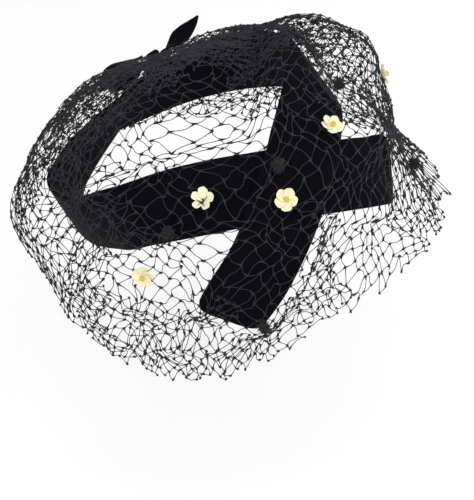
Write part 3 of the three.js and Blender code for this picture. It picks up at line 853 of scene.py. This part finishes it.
def make_materials():
    """Velvet, thread, petal, stamen and chenille."""
    return {
        "velvet": cloth(
            "velvet_pile", (0.0012, 0.0013, 0.0022), (0.0036, 0.0038, 0.006),
            60, 1500, 0.9, 0.25, 0.0004, Roughness=0.9, Sheen_Weight=0.03, Sheen_Roughness=0.35,
            Specular_IOR_Level=0.05,
        ),
        "net": cloth(
            "net_thread", (0.010, 0.0108, 0.013), (0.034, 0.0365, 0.043), 90, 2500, 1.2, 0.4, 0.0002,
            Roughness=0.7, Specular_IOR_Level=0.25,
        ),
        "petal": cloth(
            "petal_cloth", (0.76, 0.68, 0.42), (0.92, 0.87, 0.66), 220, 3500, 0.8, 0.3, 0.0002,
            Roughness=0.65, Sheen_Weight=0.15, Sheen_Roughness=0.5, Subsurface_Weight=0.15,
            Subsurface_Scale=0.0008,
        ),
        "stamen": cloth(
            "stamen_flock", (0.52, 0.33, 0.03), (0.80, 0.63, 0.07), 900, 4000, 1.0, 0.5, 0.0003,
            Roughness=0.8, Specular_IOR_Level=0.2,
        ),
        "chenille": cloth(
            "chenille_pile", (0.004, 0.004, 0.005), (0.018, 0.018, 0.022), 400, 3000, 0.9, 0.3, 0.0002,
            Roughness=0.85, Sheen_Weight=0.15, Sheen_Roughness=0.5, Specular_IOR_Level=0.2,
        ),
    }


# ---- floor, lights and camera ----------------------------------------------------------------

CAMERA_TURN = -42              # degrees
CAMERA_RISE = 35
CAMERA_FAR = 1.3
CAMERA_AIM = (0.0194, -0.0584) # right of and above the head opening, as the camera sees it
CAMERA_LENS = 162
FLOOR = -0.34
FLOOR_HALF = 6.0


def make_stage():
    """A wide white floor, well below the hat."""
    material = bpy.data.materials.new("pale_floor")
    material.use_nodes = True
    nodes, link = material.node_tree.nodes, material.node_tree.links.new
    shader = nodes["Principled BSDF"]
    speckle = nodes.new("ShaderNodeTexNoise")
    speckle.inputs["Scale"].default_value = 30
    ramp = nodes.new("ShaderNodeMix")
    ramp.data_type = "RGBA"
    ramp.inputs["A"].default_value = (0.90, 0.90, 0.90, 1)
    ramp.inputs["B"].default_value = (0.93, 0.93, 0.93, 1)
    link(speckle.outputs["Fac"], ramp.inputs["Factor"])
    link(ramp.outputs["Result"], shader.inputs["Base Color"])
    shader.inputs["Roughness"].default_value = 0.9
    mesh = bpy.data.meshes.new("floor")
    corners = [(-1, -1), (1, -1), (1, 1), (-1, 1)]
    mesh.from_pydata([(x * FLOOR_HALF, y * FLOOR_HALF, FLOOR) for x, y in corners], [], [(0, 1, 2, 3)])
    mesh.materials.append(material)
    floor = bpy.data.objects.new("floor", mesh)
    bpy.context.scene.collection.objects.link(floor)


def add_light(name, place, size, power):
    """A square soft light at a place, turned to the hat."""
    light = bpy.data.lights.new(name, "AREA")
    light.size = size
    light.energy = power
    lamp = bpy.data.objects.new(name, light)
    lamp.location = place
    lamp.rotation_euler = (-Vector(place)).to_track_quat("-Z", "Y").to_euler()
    bpy.context.scene.collection.objects.link(lamp)


def make_lights():
    """An even white surround, a large key light from the front right of the wearer and a fill from
    the left."""
    world = bpy.data.worlds.new("studio")
    world.use_nodes = True
    world.node_tree.nodes["Background"].inputs["Color"].default_value = (1, 1, 1, 1)
    world.node_tree.nodes["Background"].inputs["Strength"].default_value = 0.75
    bpy.context.scene.world = world
    bpy.context.scene.view_settings.view_transform = "Standard"
    add_light("key", (-1.2, -1.3, 2.0), 1.6, 36)
    add_light("fill", (1.6, -0.8, 1.2), 1.6, 14)


def make_camera():
    """A long lens turned to the hat from the front right, above its level."""
    turn, rise = math.radians(CAMERA_TURN), math.radians(CAMERA_RISE)
    back = Vector((
        math.sin(turn) * math.cos(rise), -math.cos(turn) * math.cos(rise), math.sin(rise),
    ))
    right = Vector((math.cos(turn), math.sin(turn), 0))
    up = back.cross(right)
    aim = right * CAMERA_AIM[0] + up * CAMERA_AIM[1]
    data = bpy.data.cameras.new("camera")
    data.lens = CAMERA_LENS
    data.sensor_width = 36
    data.clip_start, data.clip_end = 0.05, 30
    camera = bpy.data.objects.new("camera", data)
    camera.location = back * CAMERA_FAR
    way = (aim - camera.location).normalized()
    side = way.cross(Vector((0, 0, 1))).normalized()
    top = side.cross(way)
    camera.rotation_euler = Matrix((
        (side.x, top.x, -way.x), (side.y, top.y, -way.y), (side.z, top.z, -way.z),
    )).to_euler()
    bpy.context.scene.collection.objects.link(camera)
    bpy.context.scene.camera = camera


# ---- the whole hat ---------------------------------------------------------------------------

BOW_CLEAR = 32                 # width of the net's press under the bow, and of its hold at a stitch
SEWN_WIDTH = 13
TOP_LAYERS_CLEAR = 30          # the crown's two dense layers keep this far from the bow


def dot_rises():
    """How far the net is drawn up to each dot: from where it would lie to DOT_INSET short of the middle
    of the dot's box."""
    rises = []
    for (name, _, _), place in zip(DOTS, DOT_PLACES):
        low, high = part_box(name)
        middle = (np.array(low) + np.array(high)) / 2 / MM
        lies = on_veil(place[None], 0.0, NET_SLACK)[0][0]
        gap = np.linalg.norm(middle - HEAD_MIDDLE) - np.linalg.norm(lies - HEAD_MIDDLE)
        rises.append(max(gap - DOT_INSET, 0))
    return rises


def smooth_lift(seed, size, depth, low=0.0):
    """How far a layer stands off the veil at flat places: low plus smooth noise of that size and depth,
    little of it under the bow, plus a bell curve over each puff. It falls to nothing under a flower or
    a dot, and a bell curve then draws it up to each dot."""
    tents = list(zip(dot_rises(), DOT_PLACES))

    def lift(flat):
        rise = low + depth * (0.5 + 0.5 * waves(flat, size, seed))
        rise = rise * (1 - 0.9 * np.exp(-((flat - BOW_PLACE) ** 2).sum(1) / BOW_CLEAR ** 2))
        for (_, _, height, width), place in zip(PUFFS, PUFF_PLACES):
            rise = rise + height * np.exp(-((flat - place) ** 2).sum(1) / width ** 2)
        sewn = np.min([((flat - place) ** 2).sum(1) for place in SEWN_PLACES], axis=0)
        rise = rise * (1 - np.exp(-sewn / SEWN_WIDTH ** 2))
        for height, place in tents:
            rise = rise + height * np.exp(-((flat - place) ** 2).sum(1) / TENT_WIDTH ** 2)
        return rise
    return lift


def make_veil(material):
    """The veil's layers: one all over, then more over the far half of the crown, the back and right,
    the gathers, where the net is drawn together, and the flounce on the left. Each rule says which
    flat places, at a turn and drop, a layer covers."""
    def all_over(flat, turn, drop):
        return drop < hem_reach(turn, 70)

    def far_crown(flat, turn, drop):
        ahead = np.hypot(flat[:, 0], flat[:, 1]) * np.cos(np.radians(turn + 13))
        return (ahead < 24 + 7 * waves(flat, 26, 75)) & (drop > 0.08) & (drop < 0.62) & (
            (turn > 8) | (turn < -100)
        ) & (np.linalg.norm(flat - BOW_PLACE, axis=1) > TOP_LAYERS_CLEAR)

    def back_and_side(flat, turn, drop):
        edge = 0.04 * np.sin(np.radians(5 * turn))
        return (drop > 0.44 + edge) & (drop < hem_reach(turn, 80) - 0.02) & (
            (turn > 95) | (turn < -72)
        )

    def folds(flat, turn, drop):
        near = gather_distance(flat) < 13 + 4 * waves(flat, 20, 77)
        return near & (drop < hem_reach(turn, 90) - 0.01)

    def flounce(flat, turn, drop):
        return (turn > 22) & (turn < 112) & (drop > 0.30) & (drop < hem_reach(turn, 85) - 0.05)

    def layer(name, nodes, seed, cell, keep, size, depth, low=0.0, **shape):
        lift = smooth_lift(seed, size, depth, low)
        return make_net(name, material, nodes, seed, cell, keep, lift, **shape)

    crown, skirt, both = ("veil_crown",), ("veil_skirt",), ("veil_crown", "veil_skirt")
    pieces = [
        layer("net_outer", both, 101, 6.7, all_over, 48, 3.0, spin=37),
        layer("net_crown", crown, 102, 6.0, far_crown, 30, 4.0, spin=23, squash=0.8),
        layer("net_top", crown, 105, 6.2, far_crown, 26, 3.0, -1.0, spin=71, squash=0.7),
        layer("net_back", skirt, 103, 8.2, back_and_side, 36, 4.0, -1.0, spin=61),
        layer("net_folds", both, 104, 7.4, folds, 30, 3.0, spin=50, squash=0.9),
        layer("net_flounce", both, 106, 7.4, flounce, 40, 4.0, -1.5, spin=40),
    ]


def main():
    """Camera and lights first, then the hat's pieces from the head outwards."""
    make_camera()
    make_lights()
    make_stage()
    looks = make_materials()
    make_band(looks["velvet"])
    make_veil(looks["net"])
    make_bow(looks["velvet"])
    for seed, (name, turn, drop, spin, middle) in enumerate(FLOWERS):
        make_flower(name, turn, drop, spin, not middle, looks["petal"], 40 + seed)
        if middle:
            make_stamens(name, turn, drop, spin, looks["stamen"], 50 + seed)
    for seed, (name, turn, drop) in enumerate(DOTS):
        make_pompom(name, turn, drop, looks["chenille"], 60 + seed)


main()
bpy.context.view_layer.update()
